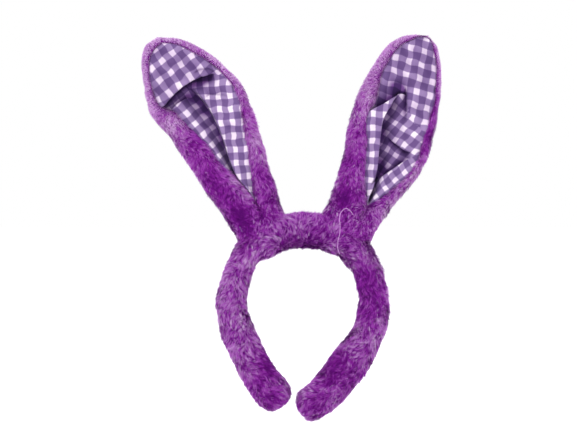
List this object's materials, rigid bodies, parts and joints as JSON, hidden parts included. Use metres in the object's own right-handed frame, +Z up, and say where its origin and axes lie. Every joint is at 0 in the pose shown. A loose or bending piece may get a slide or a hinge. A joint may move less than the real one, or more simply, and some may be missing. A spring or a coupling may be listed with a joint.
{
  "type": "animal ears headband",
  "caption": "Padded plush headband on a springy inner strip, with two wired rabbit ears that are plush behind and lined with gingham in front.",
  "frame": {"origin": "on the head side of the band, at the middle of the crown", "axes": "+Z up out of the crown, +X to the right as seen from the front, the lined front of the ears faces -Y"},
  "size_m": [0.2404, 0.028, 0.3103],
  "materials": {
    "plush": "short fluffy polyester pile, purple, matted in places",
    "gingham": "printed plain-weave cotton, lavender and white gingham, checks of about 5 mm",
    "wadding": "loose polyester wadding",
    "strip": "moulded polypropylene",
    "wire": "soft annealed steel craft wire",
    "thread": "spun polyester sewing thread"
  },
  "bodies": {
    "crown": {"crown_plush_cover": "plush", "crown_wadding": "wadding", "crown_strip": "strip", "crown_seam_thread": "thread"},
    "left_arm": {"left_arm_plush_cover": "plush", "left_arm_wadding": "wadding", "left_arm_strip": "strip", "left_arm_seam_thread": "thread", "left_end_gather_thread": "thread"},
    "left_ear": {"left_ear_lower_plush_back": "plush", "left_ear_lower_wadding": "wadding", "left_ear_lower_gingham_lining": "gingham", "left_ear_lower_shaping_wire": "wire", "left_ear_lower_edge_seam_thread": "thread", "left_ear_foot_stitches": "thread"},
    "left_ear_tip": {"left_ear_upper_plush_back": "plush", "left_ear_upper_wadding": "wadding", "left_ear_upper_gingham_lining": "gingham", "left_ear_upper_shaping_wire": "wire", "left_ear_upper_edge_seam_thread": "thread"},
    "right_arm": {"right_arm_plush_cover": "plush", "right_arm_wadding": "wadding", "right_arm_strip": "strip", "right_arm_seam_thread": "thread", "right_end_gather_thread": "thread"},
    "right_ear": {"right_ear_lower_plush_back": "plush", "right_ear_lower_wadding": "wadding", "right_ear_lower_gingham_lining": "gingham", "right_ear_lower_shaping_wire": "wire", "right_ear_lower_edge_seam_thread": "thread", "right_ear_foot_stitches": "thread"},
    "right_ear_tip": {"right_ear_upper_plush_back": "plush", "right_ear_upper_wadding": "wadding", "right_ear_upper_gingham_lining": "gingham", "right_ear_upper_shaping_wire": "wire", "right_ear_upper_edge_seam_thread": "thread"}
  },
  "joints": [
    {"name": "left_arm_flex", "type": "hinge", "parent": "crown", "child": "left_arm", "pos_m": [-0.05077, 0, -0.0165], "axis": [0, 1, 0], "range_deg": [-1, 14], "stiffness_Nm_per_rad": 1.2},
    {"name": "right_arm_flex", "type": "hinge", "parent": "crown", "child": "right_arm", "pos_m": [0.05077, 0, -0.0165], "axis": [0, -1, 0], "range_deg": [-1, 14], "stiffness_Nm_per_rad": 1.2},
    {"name": "left_ear_lean", "type": "hinge", "parent": "crown", "child": "left_ear", "pos_m": [-0.02875, 0, 0.0063], "axis": [0.866, 0, 0.5], "range_deg": [-35, 35]},
    {"name": "left_ear_bend", "type": "hinge", "parent": "left_ear", "child": "left_ear_tip", "pos_m": [-0.08979, 0, 0.12524], "axis": [0.8771, 0, 0.4802], "range_deg": [-20, 60]},
    {"name": "right_ear_lean", "type": "hinge", "parent": "crown", "child": "right_ear", "pos_m": [0.02875, 0, 0.0063], "axis": [0.866, 0, -0.5], "range_deg": [-35, 35]},
    {"name": "right_ear_bend", "type": "hinge", "parent": "right_ear", "child": "right_ear_tip", "pos_m": [0.07713, 0, 0.11527], "axis": [0.9291, 0, -0.3697], "range_deg": [-20, 60]}
  ]
}
